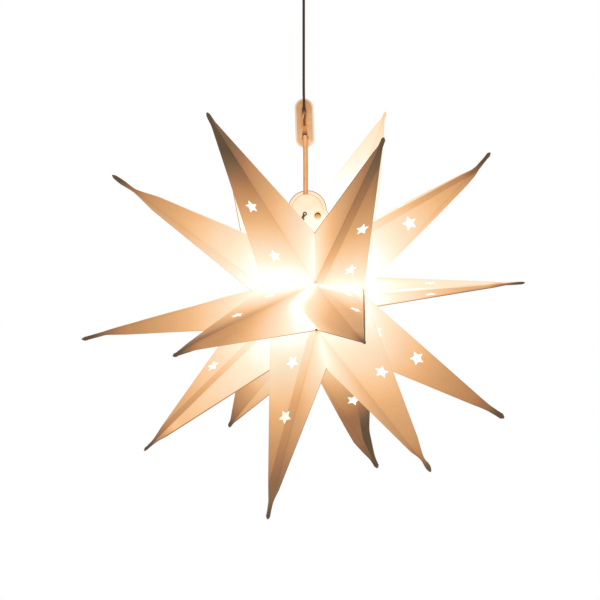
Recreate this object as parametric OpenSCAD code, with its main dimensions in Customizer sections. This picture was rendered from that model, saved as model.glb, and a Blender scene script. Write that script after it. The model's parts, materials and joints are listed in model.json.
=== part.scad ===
// Hanging folded paper star lantern: eighteen four-sided spikes in three rings of six,
// hung by its lamp cord from a ceiling cup. Millimetres, +Z up, the cup's top face at Z = 0.

/* [Paper star] */
// Thickness of the paper sheet
sheet_t = 0.6; // [0.4:0.1:1]
// Lean of the star to the side on its cord, degrees
star_lean = 5; // [0:1:8]
// Centre of the star below the top of its closing tabs
star_drop = 142; // [138:1:146]
// Circumradius of a star cut-out
cut_r = 9.6; // [6:0.2:10]
// Width of a spike's blunt end as a share of its base
tip_share = 0.035; // [0.03:0.005:0.05]

/* [Closing tabs] */
// Radius of the rear tab's round top
tab_r = 25; // [23:1:27]
// How much larger the rear tab is than the front one
tab_step = 4.5; // [3:0.5:6]
// Gap between the cord's middle plane and each tab
tab_gap = 2; // [2:0.1:2.4]

/* [Cord] */
// Width of the flat twin cord
cord_w = 6.4; // [6:0.2:6.8]
// Thickness of the flat twin cord
cord_t = 3.4; // [3:0.2:3.6]
// Top of the closing tabs below the ceiling, and the height of the star's own tilt axis
tab_top_z = -310; // [-312:1:-308]
// How far the lamp hangs off the cup's axis, the flex being a little curved
hang_x = 2.5; // [2:0.5:3]

/* [Cord clip] */
// Width of the clip
clip_w = 24; // [22:1:26]
// Length of the clip over its round ends
clip_l = 63; // [60:1:66]
// Thickness of the clip
clip_t = 2; // [1.6:0.2:2.4]

/* [Lamp holder] */
// Outer radius of the holder's body
holder_r = 14; // [13:0.5:15]
// Top of the holder's cap
holder_top_z = -383; // [-384:1:-382]
// Radius of the bulb's round part
bulb_r = 22.5; // [20:0.5:24]

/* [Ceiling cup] */
// Outer radius of the cup at the ceiling
cup_r = 40; // [38:1:44]
// Height of the cup down to its outlet boss
cup_h = 36; // [35:0.5:37]
// Wall of the cup
cup_wall = 1.6; // [1.2:0.2:2]
// Distance between the two ceiling screw holes
screw_span = 50; // [46:1:52]

/* [Hidden] */
$fn = 48;

// ---- The paper star, about its own centre. Azimuth 0 is the front (-Y) and grows towards +X.

// Six folded seams run down the star. Each crosses four heights: [radius, azimuth, height].
// The seams at 61 and 244 degrees are the pinched ones, where the two halves close.
seams = [
    [[40, 10, 90], [85, 1, 30], [82, 0, -30], [40, 10, -86]],
    [[47, 60, 78], [72, 61, 10], [72, 61, 5], [45, 60, -72]],
    [[47, 120, 80], [90, 119, 18], [90, 119, -22], [45, 120, -72]],
    [[42, 195, 100], [58, 182, 30], [58, 182, -30], [42, 200, -88]],
    [[50, 244, 72], [92, 244, 14], [92, 244, 4], [45, 244, -70]],
    [[50, 300, 74], [73, 300, 26], [70, 300, -27], [45, 300, -70]]];
// The front seam is pushed in and to the left between its two middle corners.
front_kink = [76, -17, 4];

// Each spike: [azimuth, elevation, length to its end, share of the length at which its end bends,
// and how far the bend lies off the straight line in azimuth and in elevation].
upper_ring = [[-35, 53, 315, 0.85, 0, 0], [26, 43, 300, 0.85, 0, 0], [79, 35.5, 295, 0.85, 0, -1.5],
              [141, 51, 300, 0.85, 0, 0], [-138, 55, 280, 0.85, 0, 0], [-80, 37, 307, 0.85, 0, -0.5]];
middle_ring = [[-33, -4, 308, 0.85, 0, 0.5], [10, -4, 300, 0.85, 0, 0], [78, 1, 272, 0.85, 0, 0],
               [150, -4, 290, 0.85, 0, 0], [-153, -6, 290, 0.85, 0, 0], [-80, -3.5, 305, 0.85, 0, 0.5]];
lower_ring = [[-29, -56, 300, 0.85, 0, 0], [32, -41, 300, 0.85, 0, 0], [70, -34, 288, 0.85, 0, 0],
              [151, -62, 290, 0.75, 6, 0], [-143, -40, 300, 0.85, 0, 0], [-68, -33, 296, 0.85, 0, 0]];
rings = [upper_ring, middle_ring, lower_ring];

function place(p) = [p[0] * sin(p[1]), -p[0] * cos(p[1]), p[2]];
function aim(azimuth, elevation) =
    [sin(azimuth) * cos(elevation), -cos(azimuth) * cos(elevation), sin(elevation)];
function mean(points, i = 0) = i == len(points) ? [0, 0, 0] : points[i] / len(points) + mean(points, i + 1);
function unit(v) = v / norm(v);

// Corners of a spike's base, clockwise from top left as seen from outside.
function base_of(row, column) =
    let (left = seams[(column + 5) % 6], right = seams[column], kink = place(front_kink),
         tl = place(left[row]), tr = place(right[row]),
         br = place(right[row + 1]), bl = place(left[row + 1]))
    row == 1 && column == 0 ? [tl, tr, kink, br, bl]
    : row == 1 && column == 1 ? [tl, tr, br, bl, kink]
    : [tl, tr, br, bl];

function end_of(row, column) =
    let (s = rings[row][column]) s[2] * aim(s[0], s[1]);

// Centre of the ring at which a spike's end bends.
function bend_of(row, column) =
    let (s = rings[row][column], c = mean(base_of(row, column)),
         p = c + (end_of(row, column) - c) * s[3])
    p + norm(p) * (aim(s[0] + s[4], s[1] + s[5]) - aim(s[0], s[1]));

function scaled_ring(points, centre, share) =
    let (c = mean(points)) [for (p = points) centre + (p - c) * share];
function inset_ring(points, distance) =
    let (c = mean(points)) [for (p = points) p - unit(p - c) * min(distance, 0.8 * norm(p - c))];
function past_ring(points, from, share) =
    [for (i = [0 : len(points) - 1]) points[i] + (points[i] - from[i]) * share];

// A closed solid through rings of equal count, capped at both ends.
module loft(rows) {
    n = len(rows[0]);
    m = len(rows);
    sides = [for (k = [0 : m - 2]) for (i = [0 : n - 1]) let (j = (i + 1) % n)
        each [[k * n + i, k * n + j, (k + 1) * n + j], [k * n + i, (k + 1) * n + j, (k + 1) * n + i]]];
    first_cap = [for (i = [1 : n - 2]) [0, i + 1, i]];
    last_cap = [for (i = [1 : n - 2]) [(m - 1) * n, (m - 1) * n + i, (m - 1) * n + i + 1]];
    polyhedron([for (r = rows) for (p = r) p], concat(sides, first_cap, last_cap));
}

module star_outline(r) {
    polygon([for (i = [0 : 9]) let (q = i % 2 == 0 ? r : r * 0.5) [q * cos(36 * i), q * sin(36 * i)]]);
}

// Five-pointed cutter through the sheet, one point towards the spike's end.
module star_cutter(base, end, share, face, beside) {
    j = (face + 1) % len(base);
    foot = (base[face] + base[j]) / 2;
    p = end + (foot - end) * share;
    along = unit(end - foot);
    normal = unit(cross(base[j] - base[face], along));
    across = cross(normal, along);
    q = p + across * beside;
    multmatrix([[along[0], across[0], normal[0], q[0]],
                [along[1], across[1], normal[1], q[1]],
                [along[2], across[2], normal[2], q[2]],
                [0, 0, 0, 1]])
        linear_extrude(height = 14, center = true) star_outline(cut_r);
}

// The two faces of each spike that carry cut-outs, and how far those on the first of them lie off
// the middle of their face.
cut_outs = [[[2, 0, 0], [2, 0, -8], [3, 0, -5], [2, 0, 0], [2, 0, 0], [0, 3, 0]],
            [[0, 3, 0], [0, 2, 8], [0, 2, 0], [0, 2, 0], [0, 2, 0], [0, 2, 0]],
            [[0, 2, 6], [0, 2, 8], [3, 0, 5], [2, 0, 6], [0, 3, 0], [0, 2, -5]]];
function cut_shares(column) = column == 0 ? [0.53, 0.82] : [0.6, 0.88];

module spike(row, column) {
    base = base_of(row, column);
    bend = scaled_ring(base, bend_of(row, column), 1 - rings[row][column][3]);
    end = scaled_ring(base, end_of(row, column), tip_share);
    inner_base = inset_ring(base, 1.4 * sheet_t);
    inner_bend = inset_ring(bend, 1.4 * sheet_t);
    on_star() color("bisque") difference() {
        loft([base, bend, end]);
        loft([past_ring(inner_base, inner_bend, 0.06), inner_bend]);
        for (k = [0, 1]) for (share = cut_shares(column))
            star_cutter(base, end_of(row, column), share, cut_outs[row][column][k],
                        k == 0 ? cut_outs[row][column][2] : 0);
    }
}

// Puts a piece made about the star's centre where the leaning star hangs.
module on_star() {
    translate([hang_x, 0, tab_top_z]) rotate([0, -star_lean, 0]) translate([0, 0, -star_drop]) children();
}

module upper_spike(column) spike(0, column);
module middle_spike(column) spike(1, column);
module lower_spike(column) spike(2, column);

// ---- Closing tabs: two paper tongues across the neck, with the cord between them.

tab_left = [-44, 73];
tab_right = [41, 79];
eyelet_at = [12.8, star_drop - 33];
hook_at = [-5.5, star_drop - 32];
eyelet_r = 2.6;
eyelet_flange_r = 5.2;
hook_wire_r = 0.8;
hook_ring_r = 3.4;

module tab_outline(step) {
    c = star_drop - tab_r;
    polygon(concat([for (a = [-6 : 6 : 186]) [(tab_r - step) * cos(a), c + (tab_r - step) * sin(a)]],
                   [[tab_left[0] + step, tab_left[1]], [tab_right[0] - step, tab_right[1]]]));
}

module tab(step, y_front) {
    translate([0, y_front + sheet_t, 0]) rotate([90, 0, 0]) linear_extrude(height = sheet_t)
        difference() {
            tab_outline(step);
            translate(eyelet_at) circle(r = eyelet_r + 0.05);
        }
}

module front_tab() {
    on_star() color("cornsilk") tab(tab_step, -tab_gap - sheet_t);
}

module rear_tab() {
    on_star() color("bisque") tab(0, tab_gap);
}

module tab_eyelet() {
    reach = tab_gap + sheet_t;
    on_star() color("goldenrod") translate([eyelet_at[0], 0, eyelet_at[1]]) rotate([90, 0, 0])
        rotate_extrude() polygon([[1.8, reach + 0.6], [eyelet_flange_r, reach], [eyelet_flange_r, reach + 0.4],
                                  [2.2, reach + 1.2], [1.8, reach + 1.2]]);
    on_star() color("goldenrod") translate([eyelet_at[0], 0, eyelet_at[1]]) rotate([90, 0, 0])
        rotate_extrude() polygon([[1.8, -reach - 0.8], [4, -reach - 0.8], [4, -reach], [eyelet_r, -reach],
                                  [eyelet_r, reach + 0.7], [1.8, reach + 0.7]]);
}

module tab_hook() {
    on_star() color("saddlebrown")
        translate([hook_at[0], -tab_gap - sheet_t - hook_wire_r, hook_at[1]]) rotate([90, 0, 0])
            rotate_extrude(angle = 300) translate([hook_ring_r, 0]) circle(r = hook_wire_r, $fn = 24);
}

// ---- Cord and clip

swing_z = -41;
cord_route = [[0, 0, -42], [0, 0, -60], [0, 0, -80], [0, 0, -105], [0, 0, -130], [0, 0, -152], [0, -0.2, -166],
              [0, -1.4, -177], [0.1, -3.2, -187], [0.3, -4.3, -196], [0.5, -4.3, -206], [0.7, -3.5, -213],
              [0.8, -2, -219], [0.9, 0, -224], [1.1, 1.6, -228], [1.3, 2.5, -233], [1.5, 1.6, -238],
              [1.7, 0, -242], [1.9, -1.5, -246], [2.1, -2.2, -252], [2.3, -1.6, -260], [2.4, -0.5, -270],
              [2.5, 0, -282], [2.5, 0, -300], [2.5, 0, -320], [2.5, 0, -340], [2.5, 0, -360], [2.5, 0, -380],
              [2.5, 0, -395]];
// The flat cord shows its edge above this height and its face below the next one.
edge_on_z = -207;
face_on_z = -219;

function cord_turn(z) = z > edge_on_z ? 90 : z < face_on_z ? 0 : 90 * (z - face_on_z) / (edge_on_z - face_on_z);

function cord_ring(i) =
    let (n = len(cord_route), p = cord_route[i],
         t = unit(cord_route[min(i + 1, n - 1)] - cord_route[max(i - 1, 0)]),
         a = cord_turn(p[2]), flat = [cos(a), sin(a), 0],
         u = unit(flat - t * (flat * t)), v = cross(t, u))
    [for (k = [0 : 7]) p + u * cord_w / 2 * cos(45 * k) + v * cord_t / 2 * sin(45 * k)];

module cord() {
    color("peru") loft([for (i = [0 : len(cord_route) - 1]) [for (k = [7 : -1 : 0]) cord_ring(i)[k]]]);
}

clip_at = [1.1, 0, -223.5];
clip_holes = [[0, 18.5, 4.35], [0, -0.5, 3.6], [0, -18.5, 3.6]];

module cord_clip() {
    color("moccasin") translate(clip_at) rotate([90, 0, 0]) rotate([0, 0, 2])
        linear_extrude(height = clip_t, center = true) difference() {
            union() {
                for (s = [-1, 1]) translate([0, s * (clip_l - clip_w) / 2]) circle(d = clip_w);
                square([clip_w, clip_l - clip_w], center = true);
            }
            for (h = clip_holes) translate([h[0], h[1]]) circle(r = h[2]);
        }
}

// ---- Lamp holder and bulb, on the cord's own axis

cap_h = 20;
cap_wall = 1.6;
body_shoulder_z = holder_top_z - cap_h;
body_top_z = cord_route[len(cord_route) - 1][2];
body_end_z = holder_top_z - 52;
socket_r = 7.6;
thread_r = 7;
socket_top_z = body_end_z + 28;
bulb_z = body_end_z - 26;

module at_lamp() {
    translate([hang_x, 0, 0]) children();
}

module holder_cap() {
    at_lamp() color("ivory") rotate_extrude() polygon([
        [3.6, holder_top_z], [6.5, holder_top_z], [10.5, holder_top_z - 2.5], [13, holder_top_z - 6.5],
        [holder_r, holder_top_z - 12], [holder_r, body_shoulder_z], [holder_r - cap_wall, body_shoulder_z],
        [holder_r - cap_wall, holder_top_z - 12], [11.5, holder_top_z - 7.3], [9.6, holder_top_z - 3.9],
        [6.2, holder_top_z - cap_wall], [3.6, holder_top_z - cap_wall]]);
}

module holder_body() {
    at_lamp() color("ivory") rotate_extrude() polygon([
        [0, body_top_z], [holder_r - cap_wall, body_top_z], [holder_r - cap_wall, body_shoulder_z],
        [holder_r, body_shoulder_z], [holder_r, body_end_z], [socket_r, body_end_z],
        [socket_r, socket_top_z], [0, socket_top_z]]);
}

module socket_sleeve() {
    at_lamp() color("gold") translate([0, 0, body_end_z + 2]) difference() {
        cylinder(r = socket_r, h = 24);
        translate([0, 0, -1]) cylinder(r = thread_r, h = 26);
    }
}

module socket_contact() {
    at_lamp() color("gold") translate([0, 0, socket_top_z - 1.2]) cylinder(r = 3, h = 1.2);
}

base_top_z = socket_top_z - 5;
base_end_z = body_end_z - 2;

module bulb_base() {
    at_lamp() color("silver") translate([0, 0, base_end_z]) cylinder(r = thread_r - 0.05, h = base_top_z - base_end_z);
}

module bulb_contact() {
    at_lamp() color("gold") translate([0, 0, base_top_z]) cylinder(r = 2.6, h = 3.7);
}

module bulb_glass() {
    neck_r = 8.5;
    at_lamp() color("lightyellow") rotate_extrude() polygon(concat(
        [[0, base_end_z], [neck_r, base_end_z]],
        [for (a = [60 : -6 : -90]) [bulb_r * cos(a), bulb_z + bulb_r * sin(a)]]));
}

// ---- Ceiling cup and its fittings

strap_t = 1.5;
strap_w = 16;
boss_r = 11;
boss_top_z = -cup_h + 2;
collar_end_z = -46.5;
bead_r = 7;
seat_r = 7.3;
bead_bore_r = 3.5;
bead_mouth_r = 4.9;
side_screw_z = -6;

// The cup's section below its straight rim: a quarter oval down to the boss, from either end.
rim_h = 12;
function cup_curve(r_out, h, start) =
    [for (i = [0 : 6 : 84]) let (a = abs(start - i))
        [boss_r + (r_out - boss_r) * cos(a), -rim_h - (h - rim_h) * sin(a)]];

module cup_shell() {
    rotate_extrude() polygon(concat(
        [[cup_r - cup_wall, 0], [cup_r, 0]], cup_curve(cup_r, cup_h, 0), [[0, -cup_h], [0, -cup_h + cup_wall]],
        cup_curve(cup_r - cup_wall, cup_h - cup_wall, 84)));
}

module ceiling_cup() {
    color("white") difference() {
        union() {
            cup_shell();
            translate([0, 0, swing_z]) cylinder(r = boss_r, h = boss_top_z - swing_z + 1);
        }
        translate([0, 0, swing_z]) sphere(r = seat_r);
        translate([0, 0, swing_z]) cylinder(r = bead_mouth_r, h = 20);
        for (s = [-1, 1]) translate([s * (cup_r - 3), 0, side_screw_z]) rotate([0, 90, 0])
            cylinder(r = 1.5, h = 8, center = true, $fn = 24);
    }
}

module outlet_collar() {
    color("white") difference() {
        translate([0, 0, collar_end_z]) cylinder(r = boss_r, h = swing_z - collar_end_z);
        translate([0, 0, swing_z]) sphere(r = seat_r);
        translate([0, 0, collar_end_z - 1]) cylinder(r = 6.2, h = 4);
    }
}

module outlet_bead() {
    color("gainsboro") translate([0, 0, swing_z]) difference() {
        sphere(r = bead_r);
        for (s = [0, 180]) rotate([s, 0, 0]) rotate_extrude() polygon([
            [0, -0.01], [bead_bore_r, -0.01], [bead_bore_r, 0], [bead_mouth_r, bead_r + 1], [0, bead_r + 1]]);
    }
}

strap_reach = cup_r - cup_wall - 0.2;

module ceiling_strap() {
    color("silver") difference() {
        union() {
            translate([-strap_reach, -strap_w / 2, -strap_t]) cube([2 * strap_reach, strap_w, strap_t]);
            for (s = [-1, 1]) translate([s * (strap_reach - 2.4), 0, -6])
                cube([strap_t, 8, 12], center = true);
        }
        for (s = [-1, 1]) {
            translate([s * screw_span / 2, 0, -strap_t - 1]) cylinder(r = 2.25, h = strap_t + 2);
            translate([s * (cup_r - 3), 0, side_screw_z]) rotate([0, 90, 0])
                cylinder(r = 1.5, h = 12, center = true, $fn = 24);
        }
        cup_corner_cut();
    }
}

// Rounds the strap's ends so that they clear the cup's wall.
module cup_corner_cut() {
    difference() {
        translate([0, 0, -20]) cylinder(r = cup_r + 10, h = 40);
        translate([0, 0, -21]) cylinder(r = strap_reach, h = 42);
    }
}

module cup_screws() {
    color("silver") for (s = [-1, 1]) rotate([0, s * 90, 0]) translate([-s * side_screw_z, 0, 0]) {
        translate([0, 0, cup_r - 7]) cylinder(r = 1.45, h = 7, $fn = 24);
        translate([0, 0, cup_r]) cylinder(r = 2.8, h = 1.6, $fn = 24);
    }
}

block_h = 12;

module terminal_block() {
    color("white") difference() {
        translate([-10, -6, -strap_t - block_h]) cube([20, 12, block_h]);
        for (s = [-1, 1]) translate([s * 5, -7, -strap_t - block_h / 2]) rotate([-90, 0, 0])
            cylinder(r = 1.9, h = 6, $fn = 24);
    }
}

module terminal_screws() {
    color("gold") for (s = [-1, 1]) translate([s * 5, -5, -strap_t - block_h / 2]) rotate([-90, 0, 0])
        cylinder(r = 1.9, h = 4, $fn = 24);
}

module supply_lead() {
    color("peru") translate([0, 0, swing_z + 1]) linear_extrude(height = -strap_t - block_h - swing_z - 1)
        union() {
            square([cord_t, cord_w - cord_t], center = true);
            for (s = [-1, 1]) translate([0, s * (cord_w - cord_t) / 2]) circle(d = cord_t, $fn = 24);
        }
}

ceiling_cup();
ceiling_strap();
cup_screws();
terminal_block();
terminal_screws();
supply_lead();
outlet_collar();
outlet_bead();
cord();
cord_clip();
holder_cap();
holder_body();
socket_sleeve();
socket_contact();
bulb_base();
bulb_contact();
bulb_glass();
front_tab();
rear_tab();
tab_eyelet();
tab_hook();
for (column = [0 : 5]) {
    upper_spike(column);
    middle_spike(column);
    lower_spike(column);
}
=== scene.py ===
import json
import math

import bmesh
import bpy
import numpy as np
from mathutils import Matrix, Vector, noise
from numpy.linalg import norm


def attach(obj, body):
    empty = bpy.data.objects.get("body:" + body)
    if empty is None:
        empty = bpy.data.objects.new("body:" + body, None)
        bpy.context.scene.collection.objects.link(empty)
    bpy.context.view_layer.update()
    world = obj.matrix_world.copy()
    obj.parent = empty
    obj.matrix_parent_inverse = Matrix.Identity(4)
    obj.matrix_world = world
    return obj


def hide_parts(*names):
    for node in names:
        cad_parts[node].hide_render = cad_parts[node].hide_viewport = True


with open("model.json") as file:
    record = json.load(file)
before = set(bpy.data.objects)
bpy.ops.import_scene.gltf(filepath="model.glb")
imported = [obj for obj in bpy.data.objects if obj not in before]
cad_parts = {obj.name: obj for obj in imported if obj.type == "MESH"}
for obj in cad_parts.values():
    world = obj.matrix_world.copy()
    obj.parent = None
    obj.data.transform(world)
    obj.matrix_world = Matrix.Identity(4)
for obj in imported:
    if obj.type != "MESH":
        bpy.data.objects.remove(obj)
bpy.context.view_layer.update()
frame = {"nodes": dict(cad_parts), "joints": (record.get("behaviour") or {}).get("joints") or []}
mm = 0.001
upright = (math.radians(90), 0, 0)  # stands a flat piece up to face the front
hangPoint = Vector(next(j for j in frame["joints"] if j["name"] == "star_tilt")["pos_m"])


# Selecting and finishing

def useOnly(*objects):
    bpy.ops.object.select_all(action="DESELECT")
    for o in objects:
        o.select_set(True)
    bpy.context.view_layer.objects.active = objects[0]


def linked(name, data):
    made = bpy.data.objects.new(name, data)
    bpy.context.scene.collection.objects.link(made)
    return made


def added(name):
    piece = bpy.context.active_object
    piece.name = name
    piece.data.name = name
    return piece


def applyModifier(piece, kind, **settings):
    useOnly(piece)
    modifier = piece.modifiers.new(kind.lower(), kind)
    for key, value in settings.items():
        setattr(modifier, key, value)
    bpy.ops.object.modifier_apply(modifier=modifier.name)


def intoMesh(piece):  # the piece's place goes into its mesh
    useOnly(piece)
    bpy.ops.object.transform_apply(location=True, rotation=True, scale=True)


def editing(piece):
    useOnly(piece)
    bpy.ops.object.mode_set(mode="EDIT")


def doneEditing():
    bpy.ops.object.mode_set(mode="OBJECT")


def pickAll():
    bpy.ops.mesh.select_all(action="SELECT")


def pick(piece, wanted, kind="verts"):  # selects what is wanted and nothing else
    bpy.ops.mesh.select_mode(type={"verts": "VERT", "edges": "EDGE", "faces": "FACE"}[kind])
    bpy.ops.mesh.select_all(action="DESELECT")
    shape = bmesh.from_edit_mesh(piece.data)
    for element in getattr(shape, kind):
        if wanted(element):
            element.select_set(True)
    shape.select_flush_mode()
    bmesh.update_edit_mesh(piece.data)
    return shape


def outwards(piece):
    editing(piece)
    pickAll()
    bpy.ops.mesh.remove_doubles(threshold=0.00001)
    bpy.ops.mesh.normals_make_consistent(inside=False)
    doneEditing()


def smoothTo(piece, angle):
    useOnly(piece)
    bpy.ops.object.shade_smooth_by_angle(angle=math.radians(angle))


def softEdges(piece, width, angle=35):
    applyModifier(piece, "BEVEL", width=width, segments=2, limit_method="ANGLE",
                  angle_limit=math.radians(angle), harden_normals=False)
    smoothTo(piece, angle)


def dress(piece, material, body, slot, *nodes):
    piece.data.materials.clear()
    piece.data.materials.append(material)
    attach(piece, body)
    if nodes:
        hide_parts(*nodes)


# Shader sockets as numbers

class Wire:
    def __init__(self, net, socket):
        self.net = net
        self.socket = socket

    def math(self, operation, *values):
        return self.net.node("ShaderNodeMath", {"operation": operation}, values)

    def __add__(self, other):
        return self.math("ADD", self, other)

    __radd__ = __add__

    def __sub__(self, other):
        return self.math("SUBTRACT", self, other)

    def __rsub__(self, other):
        return self.math("SUBTRACT", other, self)

    def __mul__(self, other):
        return self.math("MULTIPLY", self, other)

    __rmul__ = __mul__

    def least(self, other):
        return self.math("MINIMUM", self, other)

    def most(self, other):
        return self.math("MAXIMUM", self, other)

    def fade(self, low, high):  # 0 at low, 1 at high, either way round
        return self.net.node("ShaderNodeMapRange", {"interpolation_type": "SMOOTHSTEP"},
                             {"Value": self, "From Min": low, "From Max": high})

    def axis(self, letter):
        return self.net.node("ShaderNodeSeparateXYZ", {}, (self,), letter)


class Net:
    def __init__(self, owner):
        owner.use_nodes = True
        self.tree = owner.node_tree
        self.tree.nodes.clear()

    def node(self, kind, settings, values=(), output=0):
        made = self.tree.nodes.new(kind)
        for key, value in settings.items():
            if key == "stops":
                self.setStops(made.color_ramp, value)
            else:
                setattr(made, key, value)
        pairs = values.items() if isinstance(values, dict) else enumerate(values)
        for key, value in pairs:
            if isinstance(value, Wire):
                self.tree.links.new(value.socket, made.inputs[key])
            else:
                made.inputs[key].default_value = value
        return Wire(self, made.outputs[output]) if len(made.outputs) else None

    def setStops(self, ramp, stops):
        while len(ramp.elements) < len(stops):
            ramp.elements.new(0.5)
        for element, (place, colour) in zip(ramp.elements, stops):
            element.position = place
            element.color = colour

    def place(self):
        return self.node("ShaderNodeTexCoord", {}, (), "Object")

    def attribute(self, name, output="Vector"):
        return self.node("ShaderNodeAttribute", {"attribute_name": name}, (), output)

    def speckle(self, scale, detail=2.0, roughness=0.5, vector=None):
        return self.node("ShaderNodeTexNoise", {}, {"Vector": vector or self.place(), "Scale": scale,
                                                    "Detail": detail, "Roughness": roughness})

    def stretched(self, scale):
        return self.node("ShaderNodeMapping", {}, {"Vector": self.place(), "Scale": scale})

    def mixed(self, factor, a, b):  # the Mix node's colour sockets are its numbers 6, 7 and 2
        return self.node("ShaderNodeMix", {"data_type": "RGBA"}, {0: factor, 6: a, 7: b}, 2)

    def tinted(self, colour, factor):  # a colour times a number
        return self.node("ShaderNodeVectorMath", {"operation": "SCALE"}, {0: colour, "Scale": factor})

    def bump(self, height, distance, strength=1.0):
        return self.node("ShaderNodeBump", {}, {"Height": height, "Distance": distance,
                                                "Strength": strength})

    def surface(self, **values):
        named = {key.replace("_", " "): value for key, value in values.items()}
        shader = self.node("ShaderNodeBsdfPrincipled", {}, named)
        self.node("ShaderNodeOutputMaterial", {}, {"Surface": shader})


def material(name):
    made = bpy.data.materials.new(name)
    return made, Net(made)


def tone(red, green, blue):  # screen values 0 to 255 as the shader's own
    def linear(c):
        c = c / 255
        return c / 12.92 if c < 0.04045 else ((c + 0.055) / 1.055) ** 2.4
    return (linear(red), linear(green), linear(blue), 1.0)


# Camera, then the cord

starHang = {"lean": 5.0, "drop": 142 * mm}
starPlace = (Matrix.Translation(hangPoint) @ Matrix.Rotation(math.radians(-starHang["lean"]), 4, "Y")
             @ Matrix.Translation((0, 0, -starHang["drop"])))

camera = {"distance": 2.1, "elevation": 6.5, "lens": 96.9, "beside": -19.6 * mm, "below": -0.65 * mm}


def makeCamera():
    tilt = math.radians(camera["elevation"])
    look = Vector((0, math.cos(tilt), -math.sin(tilt)))
    up = Vector((0, math.sin(tilt), math.cos(tilt)))
    target = starPlace.translation + Vector((camera["beside"], 0, 0)) + up * camera["below"]
    bpy.ops.object.camera_add(location=target - look * camera["distance"],
                              rotation=(math.radians(90) - tilt, 0, 0))
    made = bpy.context.active_object
    made.data.lens = camera["lens"]
    made.data.sensor_width = 36
    made.data.clip_end = 50
    bpy.context.scene.camera = made


makeCamera()
print("camera placed")

cord = {
    "width": 6.4, "thick": 3.4,
    "route": [(0, 0, -42), (0, 0, -60), (0, 0, -80), (0, 0, -105), (0, 0, -130), (0, 0, -152),
              (0, -0.2, -166), (0, -1.4, -177), (0.1, -3.2, -187), (0.3, -4.3, -196), (0.5, -4.3, -206),
              (0.7, -3.5, -213), (0.8, -2, -219), (0.9, 0, -224), (1.1, 1.6, -228), (1.3, 2.5, -233),
              (1.5, 1.6, -238), (1.7, 0, -242), (1.9, -1.5, -246), (2.1, -2.2, -252), (2.3, -1.6, -260),
              (2.4, -0.5, -270), (2.5, 0, -282), (2.5, 0, -300), (2.5, 0, -320), (2.5, 0, -340),
              (2.5, 0, -360), (2.5, 0, -380), (2.5, 0, -395)],
    "edgeOn": -207, "faceOn": -219,  # the flat cord turns a quarter between these heights
    "perStretch": 4,
    # where its colour changes, all painted light and shade: into the lamp's light, paler lamplight towards the
    # tabs, and painted shade on the run behind the clip
    "lit": (-205, -216), "pale": (-255, -300), "clipTop": (-210, -213), "clipFoot": (-229, -226),
}


def smoothRoute(points, perStretch):  # an even curve through the route's points
    made = []
    for i in range(len(points) - 1):
        a, b = points[i], points[i + 1]
        before, after = points[max(i - 1, 0)], points[min(i + 2, len(points) - 1)]
        for k in range(perStretch):
            t = k / perStretch
            made.append(0.5 * (2 * a + (b - before) * t + (2 * before - 5 * a + 4 * b - after) * t ** 2
                               + (3 * a - before - 3 * b + after) * t ** 3))
    return made + [points[-1]]


def twinSection():  # two round cores side by side with a groove between them
    r = cord["thick"] / 2
    apart = cord["width"] / 2 - r
    lobe = [math.radians(a) for a in range(-140, 141, 20)]
    right = [(apart + r * math.cos(a), r * math.sin(a)) for a in lobe]
    left = [(-x, -y) for x, y in right]
    return right + left


def makeCordMaterial():
    made, net = material("twin flex")
    across = net.attribute("across").axis("X")
    side = across.math("ABSOLUTE", across)  # 0 in the middle of the flat cord, 1 at its edges
    height = net.place().axis("Z")
    lit, glowing, top, foot = [height.fade(cord[key][0] * mm, cord[key][1] * mm)
                               for key in ("lit", "pale", "clipTop", "clipFoot")]
    blotch = net.speckle(90, 2)
    fine = net.speckle(1400, 1)
    dark = net.mixed(blotch, tone(58, 32, 14), tone(92, 56, 30))
    warm = net.mixed(blotch, tone(206, 148, 92), tone(228, 176, 122))
    pale = net.mixed(blotch, tone(190, 134, 86), tone(224, 172, 124))
    # painted light: dark above the lamp's light, warm where lamplit and paler towards the tabs
    body = net.mixed(lit, dark, net.mixed(glowing, warm, pale))
    core = side.fade(0.30, 0.52) * side.fade(0.92, 0.70)
    body = net.mixed(core * 0.5, body, net.mixed(lit, tone(40, 24, 14), tone(140, 84, 40)))
    # painted shade: a dark run down the middle of the cord behind the clip
    body = net.mixed(top * foot * side.fade(0.6, 0.4), body, tone(112, 70, 34))
    # painted shade: the cord's edges darker than its middle
    rim = side.fade(0.86, 1.0)
    body = net.mixed(rim * 0.6, body, net.mixed(lit, tone(40, 24, 14), tone(136, 86, 48)))
    # the lamplit cord glows with painted light
    net.surface(Base_Color=body, Roughness=0.38 + fine * 0.2, Emission_Color=net.tinted(body, lit * 0.4),
                Emission_Strength=1.0, Specular_IOR_Level=0.2,
                Normal=net.bump(fine, 0.00008))
    return made


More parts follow.
